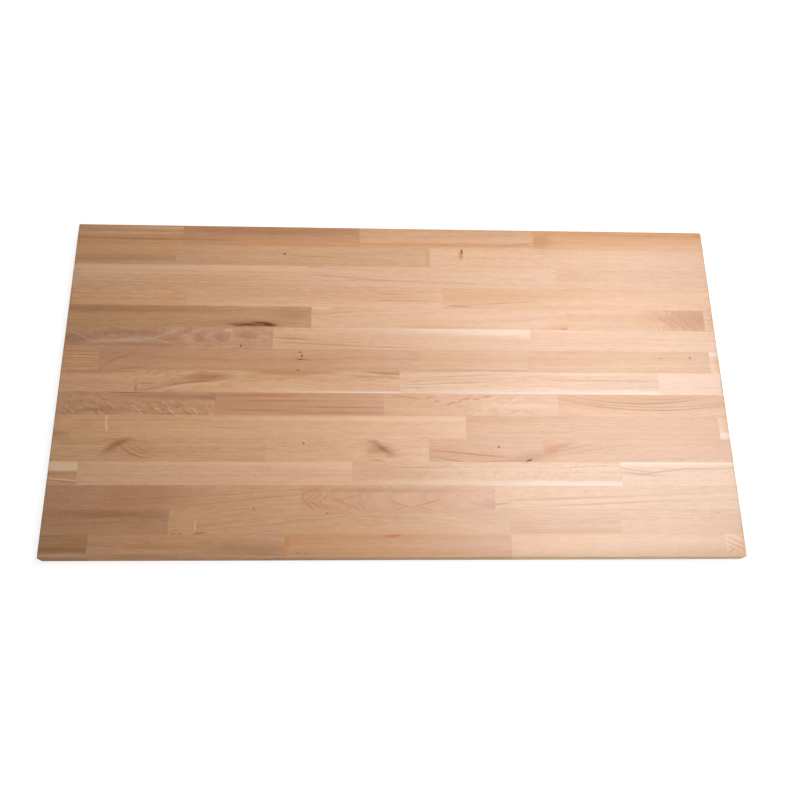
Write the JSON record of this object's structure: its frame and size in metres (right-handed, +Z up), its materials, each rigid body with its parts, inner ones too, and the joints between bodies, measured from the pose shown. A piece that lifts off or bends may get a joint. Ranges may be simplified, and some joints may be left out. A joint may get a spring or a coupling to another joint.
{
  "type": "tabletop",
  "caption": "Rectangular tabletop of solid oak staves, glued side by side and end to end in staggered rows, flat on both faces with eased edges.",
  "frame": {"origin": "centre of the underside, on the surface that the panel lies on", "axes": "+X along the staves to the right end, +Y across the staves to the far edge, +Z up out of the top face"},
  "size_m": [1.2, 0.635, 0.026],
  "materials": {
    "oak_pale": "sanded and oiled, sapwood white",
    "oak_sand": "sanded and oiled, light oak",
    "oak_rose": "sanded and oiled, pinkish oak",
    "oak_honey": "sanded and oiled, golden oak",
    "oak_tan": "sanded and oiled, mid oak",
    "oak_amber": "sanded and oiled, orange-brown oak",
    "oak_brown": "sanded and oiled, brown oak",
    "oak_smoke": "sanded and oiled, grey-brown oak",
    "oak_umber": "sanded and oiled, dark brown oak"
  },
  "bodies": {
    "root": {"row_01_stave_1": "oak_tan", "row_01_stave_2": "oak_brown", "row_01_stave_3": "oak_rose", "row_01_stave_4": "oak_amber", "row_02_stave_1": "oak_rose", "row_02_stave_2": "oak_rose", "row_02_stave_3": "oak_sand", "row_03_stave_1": "oak_sand", "row_03_stave_2": "oak_sand", "row_03_stave_3": "oak_rose", "row_04_stave_1": "oak_honey", "row_04_stave_2": "oak_rose", "row_04_stave_3": "oak_tan", "row_05_stave_1": "oak_umber", "row_05_stave_2": "oak_sand", "row_05_stave_3": "oak_tan", "row_05_stave_4": "oak_sand", "row_06_stave_1": "oak_smoke", "row_06_stave_2": "oak_tan", "row_06_stave_3": "oak_sand", "row_07_stave_1": "oak_sand", "row_07_stave_2": "oak_brown", "row_07_stave_3": "oak_tan", "row_07_stave_4": "oak_amber", "row_07_stave_5": "oak_pale", "row_08_stave_1": "oak_rose", "row_08_stave_2": "oak_honey", "row_08_stave_3": "oak_sand", "row_08_stave_4": "oak_pale", "row_09_stave_1": "oak_smoke", "row_09_stave_2": "oak_amber", "row_09_stave_3": "oak_sand", "row_09_stave_4": "oak_amber", "row_10_stave_1": "oak_smoke", "row_10_stave_2": "oak_honey", "row_10_stave_3": "oak_rose", "row_10_stave_4": "oak_amber", "row_10_stave_5": "oak_tan", "row_10_stave_6": "oak_pale", "row_11_stave_1": "oak_tan", "row_11_stave_2": "oak_sand", "row_11_stave_3": "oak_tan", "row_11_stave_4": "oak_amber", "row_12_stave_1": "oak_pale", "row_12_stave_2": "oak_pale", "row_12_stave_3": "oak_sand", "row_12_stave_4": "oak_sand", "row_13_stave_1": "oak_smoke", "row_13_stave_2": "oak_tan", "row_13_stave_3": "oak_brown", "row_13_stave_4": "oak_rose", "row_14_stave_1": "oak_brown", "row_14_stave_2": "oak_tan", "row_14_stave_3": "oak_honey", "row_14_stave_4": "oak_tan", "row_15_stave_1": "oak_umber", "row_15_stave_2": "oak_brown", "row_15_stave_3": "oak_amber", "row_15_stave_4": "oak_tan", "row_15_stave_5": "oak_tan"}
  },
  "joints": []
}
